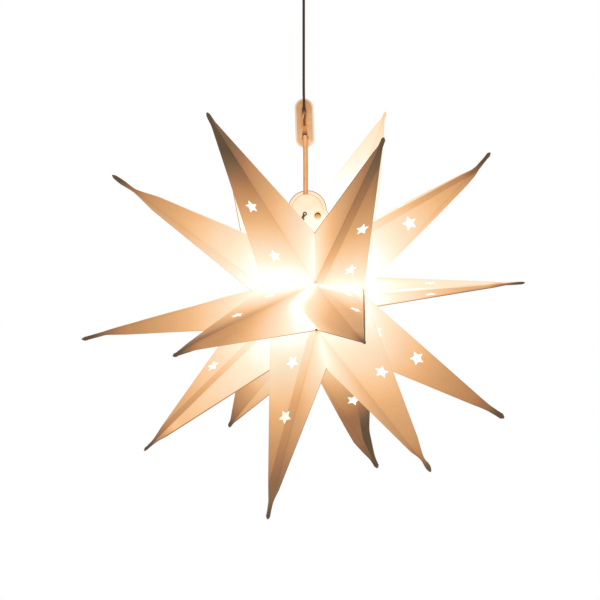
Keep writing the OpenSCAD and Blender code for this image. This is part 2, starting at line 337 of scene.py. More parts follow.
def makeCord():
    points = smoothRoute([Vector(p) * mm for p in cord["route"]], cord["perStretch"])
    section = twinSection()
    shape = bmesh.new()
    across = shape.verts.layers.float.new("across")
    rings = []
    for i, p in enumerate(points):
        along = (points[min(i + 1, len(points) - 1)] - points[max(i - 1, 0)]).normalized()
        share = (p.z / mm - cord["faceOn"]) / (cord["edgeOn"] - cord["faceOn"])
        turn = math.radians(90) * min(max(share, 0), 1)
        flat = Vector((math.cos(turn), math.sin(turn), 0))
        u = (flat - along * flat.dot(along)).normalized()
        v = along.cross(u)
        ring = []
        for x, y in section:
            vert = shape.verts.new(p + u * x * mm + v * y * mm)
            vert[across] = 2 * x / cord["width"]
            ring.append(vert)
        rings.append(ring)
    for a, b in zip(rings, rings[1:]):
        for k in range(len(section)):
            n = (k + 1) % len(section)
            shape.faces.new((a[k], b[k], b[n], a[n]))
    shape.faces.new(rings[0])
    shape.faces.new(list(reversed(rings[-1])))
    bmesh.ops.recalc_face_normals(shape, faces=shape.faces)
    mesh = bpy.data.meshes.new("lamp_flex")
    shape.to_mesh(mesh)
    shape.free()
    made = linked("lamp_flex", mesh)
    smoothTo(made, 60)
    return made, points


cordPiece, cordPoints = makeCord()
dress(cordPiece, makeCordMaterial(), "pendant", "flex", "cord")
print("cord made")


# Cord clip: a translucent strip with three holes that the flex weaves through

clip = {"at": (1.1, 0, -223.5), "turn": 2, "width": 24, "length": 63, "thick": 2,
        "holes": [(18.5, 1.7), (-0.5, 3.3), (-18.5, 3.3)],  # each hole: height over the middle, radius
        "rim": 1.7, "edge": 0.45, "step": 0.35, "slope": 0.5, "outline": 0.35, "ring": 2.2, "ringFade": 1.4,
        # where its colour changes: towards the light, and the painted rings of shade round the first and the
        # last hole
        "low": (-225, -252), "firstRing": (-214, -222), "lastRing": (-232, -238)}


def makeClipMaterial():
    made, net = material("translucent strip")
    height = net.place().axis("Z")
    cloud = net.speckle(60, 3)
    fine = net.speckle(700, 2)
    marks = net.attribute("marks")
    low, pastFirst, atLast = [height.fade(clip[key][0] * mm, clip[key][1] * mm)
                              for key in ("low", "firstRing", "lastRing")]
    body = net.mixed(low, tone(216, 158, 102), tone(238, 178, 122))
    body = net.mixed(cloud.fade(0.4, 0.75) * 0.5, body, tone(246, 196, 146))
    # painted highlight on the raised rim
    body = net.mixed(marks.axis("X"), body, net.mixed(low, tone(242, 214, 188), tone(250, 220, 184)))
    # painted shade along the outline
    body = net.mixed(marks.axis("Y") * 0.7, body, net.mixed(low, tone(196, 146, 104), tone(160, 116, 70)))
    # painted shade round the first and last hole, painted lamplight round the middle one
    ring = net.mixed(pastFirst, tone(112, 70, 38), tone(214, 132, 58))
    ring = net.mixed(atLast, ring, tone(104, 62, 28))
    body = net.mixed(marks.axis("Z"), body, ring)
    # the strip glows with painted lamplight
    net.surface(Base_Color=net.tinted(body, 0.4), Roughness=0.25 + fine * 0.2,
                Emission_Color=net.tinted(body, 0.58), Emission_Strength=1.0,
                Coat_Weight=0.35, Coat_Roughness=0.2, Normal=net.bump(fine, 0.0001))
    return made


def roundCutter(radius, depth, place, turn):
    bpy.ops.mesh.primitive_cylinder_add(vertices=48, radius=radius, depth=depth, location=place,
                                        rotation=turn)
    return bpy.context.active_object


def cutOut(piece, cutters):
    useOnly(*cutters)
    bpy.ops.object.join()
    cutter = bpy.context.active_object
    intoMesh(cutter)
    applyModifier(piece, "BOOLEAN", operation="DIFFERENCE", object=cutter, solver="EXACT")
    bpy.data.objects.remove(cutter)


def makeClip():
    r = clip["width"] / 2 * mm
    reach = (clip["length"] - clip["width"]) / 2 * mm
    bpy.ops.mesh.primitive_cylinder_add(vertices=64, radius=r, depth=clip["thick"] * mm)
    made = added("cord_strip")
    editing(made)
    for way in (1, -1):  # the disc is drawn out to a strip
        pick(made, lambda v: v.co.y * way > 1e-6)
        bpy.ops.transform.translate(value=(0, reach * way, 0))
    pick(made, lambda f: abs(f.normal.z) > 0.9, "faces")
    bpy.ops.mesh.inset(thickness=clip["rim"] * mm, depth=0)
    bpy.ops.mesh.inset(thickness=clip["slope"] * mm, depth=-clip["step"] * mm)
    doneEditing()
    cutOut(made, [roundCutter(hole * mm, 8 * mm, (0, y * mm, 0), (0, 0, 0)) for y, hole in clip["holes"]])
    made.rotation_euler = upright
    intoMesh(made)
    made.rotation_euler = (0, -math.radians(clip["turn"]), 0)
    made.location = Vector(clip["at"]) * mm
    softEdges(made, clip["edge"] * mm, 50)
    markClip(made)
    intoMesh(made)
    return made


def markClip(made):  # 1 on the raised rim, at the outline, and round the holes, where a painted highlight, a painted shade outline and painted rings of shade and lamplight go
    reach = (clip["length"] - clip["width"]) / 2
    marks = made.data.attributes.new("marks", "FLOAT_VECTOR", "POINT")
    for i, v in enumerate(made.data.vertices):
        x, y = v.co.x / mm, v.co.z / mm
        inside = clip["width"] / 2 - math.hypot(x, max(abs(y) - reach, 0))
        toHole = min(math.hypot(x, y - at) - hole for at, hole in clip["holes"])
        marks.data[i].vector = (inside < clip["rim"] + 0.1, inside < clip["outline"],
                                clip["ring"] - toHole * clip["ringFade"])


clipPiece = makeClip()
dress(clipPiece, makeClipMaterial(), "pendant", "clip_plastic", "cord_clip")
length = sum((b - a).length for a, b in zip(cordPoints, cordPoints[1:]))
print("cord clip made")


# The star's plan, about its own centre: azimuth 0 is the front and grows to the right

star = {
    # six seams, each at four heights from the top: radius, azimuth, height
    "seams": [[(40, 10, 90), (85, 1, 30), (82, 0, -30), (40, 10, -86)],
              [(47, 60, 78), (72, 61, 10), (72, 61, 5), (45, 60, -72)],
              [(47, 120, 80), (90, 119, 18), (90, 119, -22), (45, 120, -72)],
              [(42, 195, 100), (58, 182, 30), (58, 182, -30), (42, 200, -88)],
              [(50, 244, 72), (92, 244, 14), (92, 244, 4), (45, 244, -70)],
              [(50, 300, 74), (73, 300, 26), (70, 300, -27), (45, 300, -70)]],
    "kink": (76, -17, 4),  # the front seam is pushed in between its two middle corners
    # each spike: azimuth, elevation, length
    "upper": [(-35, 53, 315), (26, 43, 300), (79, 35.5, 295), (141, 51, 300), (-138, 55, 280),
              (-80, 37, 307)],
    "middle": [(-33, -4, 308), (10, -4, 300), (78, 1, 272), (150, -4, 290), (-153, -6, 290),
               (-80, -3.5, 305)],
    "lower": [(-29, -56, 300), (32, -41, 300), (70, -34, 288), (151, -62, 290), (-143, -40, 300),
              (-68, -33, 296)],
    # ends that bend: the share of the length, and how far the bend lies off in azimuth and elevation
    "noBend": (0.85, 0, 0),
    "bends": {"upper_spike_3": (0.85, 0, -1.5), "upper_spike_6": (0.85, 0, -0.5),
              "middle_spike_1": (0.85, 0, 0.5), "middle_spike_6": (0.85, 0, 0.5),
              "lower_spike_4": (0.75, 6, 0)},
    "holeRadius": 9.6, "holeWaist": 0.5,
    "frontHoles": (0.53, 0.82), "otherHoles": (0.6, 0.88),  # shares from the end to the foot
    # the two faces with cut-outs, and how far those on the first of them lie off its middle
    "cutOuts": [[(2, 0, 0), (2, 0, -8), (3, 0, -5), (2, 0, 0), (2, 0, 0), (0, 3, 0)],
                [(0, 3, 0), (0, 2, 8), (0, 2, 0), (0, 2, 0), (0, 2, 0), (0, 2, 0)],
                [(0, 2, 6), (0, 2, 8), (3, 0, 5), (2, 0, 6), (0, 3, 0), (0, 2, -5)]],
}
# the pressed tips: length of the leaf, half its width at its neck and at its widest
tips = {
    "upper": [(7, 2.8, 2.6), (14, 3.2, 3.0), (24, 2.8, 2.4), (10, 2.6, 2.4), (10, 2.6, 2.6), (34, 2.8, 3.8)],
    "middle": [(16, 3.0, 2.2), (8, 1.7, 1.7), (26, 2.2, 2.3), (20, 3.0, 3.2), (20, 3.0, 3.2), (30, 3.2, 3.0)],
    "lower": [(20, 3.0, 2.7), (20, 2.9, 4.0), (22, 4.2, 3.8), (12, 4.0, 3.8), (10, 3.6, 3.4), (16, 2.6, 2.2)],
}
# how a tip is rounded at its end, how it flares and thickens, and where it turns into the folded sheet
tipShape = {"round": 1.3, "blunt": 0.1, "flare": 0.16, "thickAtEnd": 0.5, "thicker": 0.3,
            "blendShare": 0.9, "blend": 6, "closeWithin": 12}
# the glued flap on each spike: the face it lies on, and 0 or 1 for that face's first or last fold
flaps = {
    "upper": [(3, 0), (2, 1), (3, 1), (1, 0), (1, 0), (3, 0)],
    "middle": [(1, 0), (2, 0), (2, 0), (0, 1), (0, 1), (2, 1)],
    "lower": [(0, 1), (2, 0), (2, 0), (0, 1), (0, 1), (0, 1)],
}
# how much more light comes through than straight from the lamp: at the end and at the foot of all faces,
# then of single faces
gains = {
    "upper": [(-0.1, 0.02, {2: (-0.18, 0.06)}), (0.02, -0.09, {2: (0, -0.08)}),
              (0.16, 0.25, {2: (0.62, 0.14)}), (0.05, 0.05, {0: (0.55, 0.42), 3: (0.55, 0.42)}),
              (0.05, 0.05, {0: (0.5, 0.4), 1: (0.5, 0.4)}),
              (0.13, 0.16, {2: (0.18, 0.15)})],
    "middle": [(0.16, 0.13, {0: (-0.02, 0)}), (0.1, 0, {0: (0.17, 0.04)}), (0.33, 0.34, {0: (0.62, 0.04)}),
               (0, -0.06, {}), (0, -0.06, {}), (0.1, 0, {0: (0.22, -0.05)})],
    "lower": [(-0.06, -0.1, {}), (0.06, -0.05, {1: (0.14, -0.12)}), (0.4, 0.2, {3: (0.16, 0.12)}),
              (0, -0.04, {2: (0.05, 0.14), 3: (-0.2, -0.04)}), (0, -0.04, {1: (0, 0.16), 2: (0.2, 0.04)}),
              (0.18, 0.08, {1: (0.45, 0.24)})],
}
paleTips = ["upper_spike_4", "upper_spike_5"]  # their gain holds right up to the end
# folds painted with a dark line of shade at the glued edge, by corner of the foot
darkFolds = {
    "upper": [(), (0,), (2,), (), (1, 2), (3,)],
    "middle": [(3,), (1, 3), (2,), (), (), (2,)],
    "lower": [(2,), (), (2,), (), (3,), (2,)],
}
broadFolds = {"middle_spike_3": 2}  # on this face the painted shade line and dot are four times as broad
shadeDots = [(0, 2), (2, 1), (2, 2), (4, 1)]  # painted shade dots at corners of the upper and middle spikes: seam, height
crease = {
    "line": (2.1, 0.7), "soft": 0.05, "dark": 0.6,  # a fold's line, and the share of the light it takes
    "dot": (3.4, 2.2), "corner": 0.15, "darkCorner": 0.9,  # the same at a corner of the foot
    "darkest": 0.1,
}
# a fold painted with shade that widens towards the end: how dark it is on the faces beside it
wideFold = {"spike": "middle_spike_1", "dark": (0.08, 0.04), "solid": 1.2, "width": 15, "start": 60,
            "line": 0.04}
pressedIn = {"middle_spike_1": (1, 2), "middle_spike_2": (0, 3, 4)}  # faces that the kink blends into one
# how much brighter their seam is, over what distance, and from where their folds fade
pressedGlow = {"bright": 0.2, "reach": 26, "fall": 1.3, "foldsGone": 40, "over": 90}
sheet = {"thick": 0.35, "rows": 64, "columns": 14, "bow": 1.3, "ripple": 0.35, "rippleSize": 0.03,
         "flap": 12.5, "noFlap": 99, "bendRound": 0.004, "bendSag": 0.06, "smooth": 30, "smoothPressed": 75}
# the lamp inside the star, and how far from its end a spike's gain starts
lamp = {"centre": (0, 0, -9), "power": 10000.0, "fill": 0.05, "faintest": 0.01, "least": 0.14,
        "gainFrom": 8, "gainOver": 40}
ringNames = ["upper", "middle", "lower"]


def onStar(radius, azimuth, height):
    a = math.radians(azimuth)
    return np.array([radius * math.sin(a), -radius * math.cos(a), height])


def aim(azimuth, elevation):
    a, e = math.radians(azimuth), math.radians(elevation)
    return np.array([math.sin(a) * math.cos(e), -math.cos(a) * math.cos(e), math.sin(e)])


def footOf(row, column):  # clockwise from top left as seen from outside
    left, right = star["seams"][(column + 5) % 6], star["seams"][column]
    corners = [onStar(*left[row]), onStar(*right[row]), onStar(*right[row + 1]), onStar(*left[row + 1])]
    if row == 1 and column == 0:
        corners.insert(2, onStar(*star["kink"]))
    if row == 1 and column == 1:
        corners.append(onStar(*star["kink"]))
    return np.array(corners)


class Spike:
    def __init__(self, row, column):
        ring = ringNames[row]
        self.name = f"{ring}_spike_{column + 1}"
        azimuth, elevation, length = star[ring][column]
        self.share, besides, above = star["bends"].get(self.name, star["noBend"])
        self.foot = footOf(row, column)
        self.centre = self.foot.mean(axis=0)
        self.end = length * aim(azimuth, elevation)
        self.straight = self.end - self.centre
        bend = self.centre + self.straight * self.share
        self.offset = norm(bend) * (aim(azimuth + besides, elevation + above) - aim(azimuth, elevation))
        self.leaf, self.neck, self.widest = tips[ring][column]
        self.flapFace, self.flapFold = flaps[ring][column]
        self.darkFolds = darkFolds[ring][column]
        self.row, self.column = row, column
        axis = self.straight / norm(self.straight)
        broad = np.cross([0, 1.0, 0], axis)  # the pressed tip shows its broad side to the front
        size = norm(broad)
        self.broad = broad / size if size > 0.05 else np.array([1.0, 0, 0])
        self.thin = np.cross(axis, self.broad)
        self.reach = [np.abs((self.foot - self.centre) @ way).max() for way in (self.broad, self.thin)]

    def sides(self):
        count = len(self.foot)
        return [(self.foot[i], self.foot[(i + 1) % count]) for i in range(count)]

    def sideNormal(self, i):
        a, b = self.sides()[i]
        n = np.cross(b - a, self.end - a)
        n = n / norm(n)
        return n if n @ ((a + b) / 2 - self.centre) > 0 else -n

    def pressed(self, out, fromEnd):  # the section of the pressed tip, in place of a small copy of the foot
        t = min(fromEnd / self.leaf, 1)
        half = self.neck + (self.widest - self.neck) * math.sin(math.pi * min(t * 1.1, 1)) ** 2
        rounded = 1 - min(fromEnd / (tipShape["round"] * self.widest), 1)
        half = half * math.sqrt(max(1 - rounded ** 2, tipShape["blunt"]))
        half = half + max(fromEnd - self.leaf, 0) * tipShape["flare"]
        wide = half / self.reach[0]
        thick = half * (tipShape["thickAtEnd"] + tipShape["thicker"] * t) / self.reach[1]
        return (out @ self.broad) * wide * self.broad + (out @ self.thin) * thick * self.thin

    def shift(self, along):  # the bend near the end, rounded
        s = self.share
        tent = along / s if along < s else (1 - along) / (1 - s)
        soft = 1 - math.sqrt((1 - tent) ** 2 + sheet["bendRound"])
        soft = soft + sheet["bendSag"] * (1 - abs(2 * along - 1))
        return self.offset * max(soft, 0)

    def rounding(self, side, across):  # the pushed-in corner of the front seam is a curve
        kink = onStar(*star["kink"])
        a, b = self.sides()[side]
        if np.allclose(b, kink):
            onward = self.sides()[(side + 1) % len(self.foot)][1]
            return across ** 2 * (across - 1) * ((onward - a) / 2 - (b - a))
        if np.allclose(a, kink):
            before = self.sides()[side - 1][0]
            return (1 - across) ** 2 * across * ((b - before) / 2 - (b - a))
        return 0

    def at(self, side, across, along):
        a, b = self.sides()[side]
        out = a + (b - a) * across - self.centre + self.rounding(side, across)
        fromEnd = (1 - along) * norm(self.straight)
        blend = tipShape["blendShare"] * self.leaf + tipShape["blend"]
        free = min(max((fromEnd - self.leaf) / blend, 0), 1)
        free = free * free * (3 - 2 * free)
        place = out * (1 - along) * free + self.pressed(out, fromEnd) * (1 - free)
        bow = sheet["bow"] * 4 * across * (1 - across) * (1 - along) * min(along * 6, 1)
        p = self.centre + self.straight * along + self.shift(along) + place + self.sideNormal(side) * bow
        edge = min(across, 1 - across) * 2
        calm = min(along * 8, 1) * (1 - along) * edge
        ownPlace = Vector((self.row * 7, self.column * 5, side))  # so that no two faces ripple alike
        wobble = noise.noise(Vector(p * sheet["rippleSize"]) + ownPlace)
        return p + self.sideNormal(side) * wobble * sheet["ripple"] * 4 * calm


def starCutter(spike, face, share):
    a, b = spike.sides()[face]
    foot = (a + b) / 2
    p = spike.end + (foot - spike.end) * share
    along = (spike.end - foot) / norm(spike.end - foot)
    normal = spike.sideNormal(face)
    across = np.cross(along, normal)
    first, _, beside = star["cutOuts"][spike.row][spike.column]
    p = p - across * (beside if face == first else 0)
    bpy.ops.mesh.primitive_cylinder_add(vertices=10, radius=star["holeRadius"], depth=14)
    cutter = bpy.context.active_object
    editing(cutter)  # every other corner of the ten-sided prism is drawn in
    pick(cutter, lambda v: round(math.degrees(math.atan2(v.co.x, v.co.y)) / 36) % 2 == 1)
    bpy.ops.transform.resize(value=(star["holeWaist"], star["holeWaist"], 1), center_override=(0, 0, 0))
    doneEditing()
    turn = Matrix((across, along, normal)).transposed().to_4x4()
    cutter.data.transform(Matrix.Translation(p) @ turn)
    return cutter


def rise(edge):
    return abs(edge.verts[0].co.z - edge.verts[1].co.z)


def foldSpike(row, column):
    spike = Spike(row, column)
    count = len(spike.foot)
    bpy.ops.mesh.primitive_cylinder_add(vertices=count, radius=1, depth=1, end_fill_type="NOTHING")
    made = added(spike.name + "_paper")
    editing(made)
    pick(made, lambda e: rise(e) > 0.5, "edges")
    bpy.ops.mesh.subdivide(number_cuts=sheet["rows"] - 1)
    pick(made, lambda e: rise(e) < 1e-4, "edges")
    bpy.ops.mesh.subdivide(number_cuts=sheet["columns"] - 1)
    shape = bmesh.from_edit_mesh(made.data)
    turns = [2 * math.pi * k / count for k in range(count)]
    rim = [Vector((math.sin(turn), math.cos(turn), 0)) for turn in turns]
    sideLayer = shape.faces.layers.int.new("side")

    def sideAt(co):  # which flat side of the prism, and how far along it
        best, spot = None, Vector((co.x, co.y, 0))
        for k in range(count):
            a, b = rim[k], rim[(k + 1) % count]
            t = (spot - a).dot(b - a) / (b - a).length_squared
            miss = (a + (b - a) * t - spot).length
            if -1e-4 <= t <= 1 + 1e-4 and (best is None or miss < best[2] - 1e-6):
                best = (k, min(max(t, 0), 1), miss)
        return best

    for face in shape.faces:
        face[sideLayer] = sideAt(face.calc_center_median())[0]
    for vert in shape.verts:
        side, across, _ = sideAt(vert.co)
        vert.co = Vector(spike.at(side, across, vert.co.z + 0.5))
    pick(made, lambda e: e.is_boundary and all(
        (v.co - Vector(spike.end)).length < tipShape["closeWithin"] for v in e.verts), "edges")
    bpy.ops.mesh.edge_face_add()
    pickAll()
    bpy.ops.mesh.normals_make_consistent(inside=False)
    doneEditing()
    outside = made.data.polygons[0]
    if outside.normal.dot(outside.center - Vector(spike.centre)) < 0:
        made.data.flip_normals()
    applyModifier(made, "SOLIDIFY", thickness=sheet["thick"], offset=-1, use_rim=True)
    shares = star["frontHoles"] if column == 0 else star["otherHoles"]
    cutters = [starCutter(spike, face, share)
               for face in star["cutOuts"][row][column][:2] for share in shares]
    cutOut(made, cutters)
    lightPaper(made, spike)
    made.data.transform(Matrix.Scale(mm, 4))
    made.data.transform(starPlace)
    smoothTo(made, sheet["smoothPressed" if spike.name == "middle_spike_2" else "smooth"])
    return made


def glowAt(points, normals):  # the lamp's light on the sheet: 0 for a hundredth, 1 for full
    toPoint = points - np.array(lamp["centre"])
    distance = norm(toPoint, axis=1)
    slant = np.abs((normals * toPoint).sum(axis=1)) / distance
    strength = (slant + lamp["fill"]) * lamp["power"] / distance ** 2
    return np.maximum(np.log10(strength / lamp["faintest"]) / 2, lamp["least"])


def faceLevel(spike, face, points, fromEnd):
    together = pressedIn.get(spike.name, ())
    faces = together if face in together else (face,)
    levels = [glowAt(points, np.broadcast_to(spike.sideNormal(f), points.shape)) for f in faces]
    level = sum(levels) / len(faces)
    end, foot, single = gains[ringNames[spike.row]][spike.column]
    end, foot = single.get(face, (end, foot))
    share = np.clip(fromEnd / norm(spike.straight), 0, 1)
    shown = np.clip((fromEnd - lamp["gainFrom"]) / lamp["gainOver"], 0, 1)
    shown = 1 if spike.name in paleTips else shown
    return level + (end + (foot - end) * share) * shown


def readAll(things, name, count, kind=float):
    values = np.zeros(count, kind)
    things.foreach_get(name, values)
    return values


def dottedCorners(spike):
    spots = [onStar(*star["seams"][seam][height]) for seam, height in shadeDots if spike.row < 2]
    return [k for k, corner in enumerate(spike.foot) if any(np.allclose(corner, spot) for spot in spots)]


# What the shader needs at each corner of each face: the painted lamplight, the distance to the flap's fold and
# to the spike's end, the distances to the two folds and the foot, and how much painted shade darkens the folds
# and corners
def lightPaper(made, spike):
    mesh = made.data
    loops, faces, count = len(mesh.loops), len(mesh.polygons), len(spike.foot)
    co = readAll(mesh.vertices, "co", len(mesh.vertices) * 3).reshape(-1, 3)
    points = co[readAll(mesh.loops, "vertex_index", loops, int)]
    totals = readAll(mesh.polygons, "loop_total", faces, int)
    cornerSide = np.repeat(readAll(mesh.attributes["side"].data, "value", faces, int), totals)
    cornerNormal = np.repeat(readAll(mesh.polygons, "normal", faces * 3).reshape(-1, 3), totals, axis=0)
    table = {name: np.zeros((loops, 3)) for name in ("light", "folds", "extra")}
    together = pressedIn.get(spike.name, ())
    dotted = dottedCorners(spike)
    for i, (a, b) in enumerate(spike.sides()):
        here = cornerSide == i
        p, n = points[here], spike.sideNormal(i)
        fromEnd = norm(p - spike.end, axis=1)
        first, last = ridgeDistance(p, a, spike.end, n), ridgeDistance(p, b, spike.end, n)
        foot = ridgeDistance(p, a, b, n)
        level = faceLevel(spike, i, p, fromEnd)
        flap = sheet["noFlap"]
        if i == spike.flapFace:
            flap = last if spike.flapFold else first
        nearest = np.where(first < last, i, (i + 1) % count)
        # painted shade: how dark the line along the nearest fold and the dot at the nearest corner are
        line = np.where(np.isin(nearest, spike.darkFolds), crease["dark"], crease["soft"])
        corner = np.where(np.isin(nearest, dotted), crease["darkCorner"], crease["corner"])
        if broadFolds.get(spike.name) == i:
            first = first / 4
        if i in together:  # the paper is pushed in here: the seam glows and the folds fade out
            seam = np.clip(1 - foot / pressedGlow["reach"], 0, 1)
            level = level + pressedGlow["bright"] * seam ** pressedGlow["fall"]
            away = np.clip(fromEnd / pressedGlow["over"], 0, 1) * pressedGlow["foldsGone"]
            first = first + away * ((i - 1) % count in together)
            last = last + away * ((i + 1) % count in together)
        # painted shade on the faces beside the wide dark fold
        if spike.name == wideFold["spike"] and i < 2:
            near = last if i == 0 else first
            dark = np.clip(wideFold["solid"] - near / wideFold["width"], 0, 1)
            level = level - wideFold["dark"][i] * dark * np.clip(foot / wideFold["start"], 0, 1)
            flap, line = sheet["noFlap"], wideFold["line"]
        # the sheet's inner face, which gets more painted light
        insideOf = cornerNormal[here] @ n < -0.3
        values = (level, flap, fromEnd), (first, last, foot), (insideOf, line, corner)
        for name, three in zip(table, values):
            for k, value in enumerate(three):
                table[name][here, k] = value
    for name, values in table.items():
        layer = mesh.attributes.new(name, "FLOAT_VECTOR", "CORNER")
        layer.data.foreach_set("vector", values.ravel())


def ridgeDistance(points, a, b, normal):  # distance in the face's plane from the line a-b
    along = (b - a) / norm(b - a)
    return np.abs((points - a) @ np.cross(normal, along))


# the paper's colour at each level of painted lamplight, from unlit brown to full light; the sheet glows with
# it
paperRamp = [(0.0, tone(52, 38, 27)), (0.08, tone(86, 65, 46)), (0.15, tone(115, 90, 62)),
             (0.24, tone(165, 115, 78)), (0.30, tone(190, 136, 89)), (0.39, tone(212, 160, 108)),
             (0.48, tone(237, 180, 125)), (0.56, tone(250, 202, 152)), (0.66, tone(254, 222, 187)),
             (0.78, tone(255, 241, 211)), (0.88, tone(255, 250, 236)), (1.0, tone(255, 255, 252))]


# painted lamplight on the paper: its shares, random clouds and grain, painted shade under the flap and at the
# ends, and more light on the inner face
paperLook = {"lit": 0.28, "glow": 0.76, "hot": 0.12, "hotFrom": 0.75,  # shares of outer light and of glow
             "clouds": 0.05, "grain": 0.03, "flap": 0.2, "flapMost": 0.09, "inside": 0.55,
             "end": (26, 3), "endDark": 0.06}


def paperSurface(net, level, height):  # unlit brown at level 0, full light at level 1
    colour = net.node("ShaderNodeValToRGB", {"stops": paperRamp}, (level,))
    glow = level.fade(paperLook["hotFrom"], 1.0) * paperLook["hot"] + paperLook["glow"]
    net.surface(Base_Color=net.tinted(colour, paperLook["lit"]), Roughness=0.75 + net.speckle(900, 3) * 0.2,
                Emission_Color=net.tinted(colour, glow), Emission_Strength=1.0,
                Specular_IOR_Level=0.25, Sheen_Weight=0.05, Normal=net.bump(height, 0.0002, 0.5))


def makePaperMaterial():
    made, net = material("lit paper")
    light, folds, extra = net.attribute("light"), net.attribute("folds"), net.attribute("extra")
    glow, flap, fromEnd = light.axis("X"), light.axis("Y"), light.axis("Z")
    foot = folds.axis("Z")
    cloud = net.speckle(26, 3)
    fibre = net.speckle(900, 3, 0.6)
    strands = net.speckle(1.0, 2, 0.5, net.stretched((420, 420, 90)))
    fold = folds.axis("X").least(folds.axis("Y"))
    # painted shade: a dark dot at the corners of the foot
    cornerMask = foot.fade(*crease["dot"]) * fold.fade(*crease["dot"])
    level = glow + (cloud - 0.5) * paperLook["clouds"]
    level = level + (fibre - 0.5) * paperLook["grain"] + (strands - 0.5) * paperLook["grain"]
    doubled = flap.fade(sheet["flap"] + 0.5, sheet["flap"] - 0.5)  # the flap is a second layer: painted shade where less lamplight comes through
    level = level.least(1.0) - doubled * (glow * paperLook["flap"]).least(paperLook["flapMost"])
    # painted shade: a dark line along the folds
    level = level * (1 - fold.fade(*crease["line"]) * extra.axis("Y"))
    # painted shade right at the spike's end
    level = level - fromEnd.fade(*paperLook["end"]) * paperLook["endDark"]
    # more painted light on the inner face, less at the painted shade dots of the corners
    level = level + extra.axis("X") * paperLook["inside"] - cornerMask * extra.axis("Z")
    level = level.most(crease["darkest"])
    paperSurface(net, level, fibre * 0.5 + strands * 0.5 + cloud * 2)
    return made


paper = makePaperMaterial()
for row, ring in enumerate(ringNames):
    for column in range(6):
        dress(foldSpike(row, column), paper, "star", "paper", f"{ring}_spike_{column + 1}")
    print(ring, "spikes folded")


# Closing tabs: two paper tongues with the flex between them, an eyelet and a twist of wire

# painted lamplight on the tabs: its level, brighter lower down, with random clouds and grain; and a painted
# shade outline
tabs = {"radius": 25, "top": 142, "step": 4.5, "left": (-44, 73), "right": (41, 79), "apart": 2.3,
        "thick": 0.5, "edge": 1.3, "eyelet": (12.8, 109), "eyeletBore": 2.65, "tailsFrom": 0.14, "level": 0.72,
        "brighter": 0.16, "brighterFrom": (-318, -362), "clouds": 0.16, "grain": 0.03}


def makeTab(name, step, y):
    r = tabs["radius"] - step
    middle = tabs["top"] - tabs["radius"]
    bpy.ops.mesh.primitive_circle_add(vertices=72, radius=r * mm, fill_type="NGON",
                                      location=(0, y * mm, middle * mm), rotation=upright)
    made = added(name)
    intoMesh(made)
    editing(made)
    pick(made, lambda v: v.co.z < (middle - tabs["tailsFrom"] * r) * mm)
    bpy.ops.mesh.delete(type="VERT")
    for way, (x, z) in ((-1, tabs["left"]), (1, tabs["right"])):
        shape = bmesh.from_edit_mesh(made.data)
        tail = min((v for v in shape.verts if v.co.x * way > 0), key=lambda v: v.co.z)
        goal = Vector(((x - way * step) * mm, y * mm, z * mm))
        index = tail.index
        start = tail.co.copy()
        pick(made, lambda v: v.index == index)
        bpy.ops.mesh.extrude_vertices_move(TRANSFORM_OT_translate={"value": goal - start})
    pickAll()
    bpy.ops.mesh.edge_face_add()
    bpy.ops.mesh.select_mode(type="FACE")
    pickAll()
    bpy.ops.mesh.inset(thickness=tabs["edge"] * mm, depth=0)
    shape = bmesh.from_edit_mesh(made.data)
    rim = shape.verts.layers.float.new("rim")
    for v in shape.verts:
        v[rim] = 1 if v.is_boundary else 0
    bmesh.update_edit_mesh(made.data)
    doneEditing()
    applyModifier(made, "SOLIDIFY", thickness=tabs["thick"] * mm, offset=0)
    x, z = tabs["eyelet"]
    cutOut(made, [roundCutter(tabs["eyeletBore"] * mm, 6 * mm, Vector((x, y, z)) * mm, upright)])
    made.data.transform(starPlace)
    return made


def makeTabMaterial(name, outline):
    made, net = material(name)
    height = net.place().axis("Z")
    rim = net.attribute("rim", "Fac")
    cloud = net.speckle(45, 3)
    fibre = net.speckle(900, 3, 0.6)
    start, end = tabs["brighterFrom"]
    # painted lamplight, brighter lower down
    level = tabs["level"] + height.fade(start * mm, end * mm) * tabs["brighter"]
    level = level + (cloud - 0.5) * tabs["clouds"] + (fibre - 0.5) * tabs["grain"]
    # painted shade: a dark outline along the tab's edge
    paperSurface(net, level - rim.fade(0.2, 0.6) * outline, fibre + cloud)
    return made


# Turned pieces

def turned(name, profile, segments=64, turn=(0, 0, 0), place=(0, 0, 0), closed=True):
    rings = profile + profile[:1] if closed else profile
    bpy.ops.mesh.primitive_circle_add(vertices=segments, radius=rings[0][0] * mm,
                                      location=(0, 0, rings[0][1] * mm))
    made = added(name)
    intoMesh(made)
    editing(made)
    bpy.ops.mesh.select_mode(type="EDGE")
    pickAll()
    for (r, z), (nextR, nextZ) in zip(rings, rings[1:]):
        bpy.ops.mesh.extrude_region_move(TRANSFORM_OT_translate={"value": (0, 0, (nextZ - z) * mm)})
        bpy.ops.transform.resize(value=(nextR / r, nextR / r, 1), center_override=(0, 0, nextZ * mm))
    doneEditing()
    made.rotation_euler = turn
    made.location = place
    intoMesh(made)
    outwards(made)
    return made


def arc(middle, r, start, end, steps, stretch=1):  # points (radius, height) round a circle in the profile
    turns = [math.radians(start + (end - start) * k / steps) for k in range(steps + 1)]
    return [(middle[0] + r * math.cos(a), middle[1] + r * stretch * math.sin(a)) for a in turns]


tiny = 0.004  # a closed pole's radius in mm, small enough for its points to merge


def flute(piece, radius, count, depth):  # grip grooves round a turned piece
    editing(piece)
    pick(piece, lambda v: math.hypot(v.co.x, v.co.y) > radius * mm
         and round(math.atan2(v.co.y, v.co.x) / (math.pi / count)) % 2 == 1)
    share = 1 - depth / radius
    bpy.ops.transform.resize(value=(share, share, 1), center_override=(0, 0, 0))
    doneEditing()


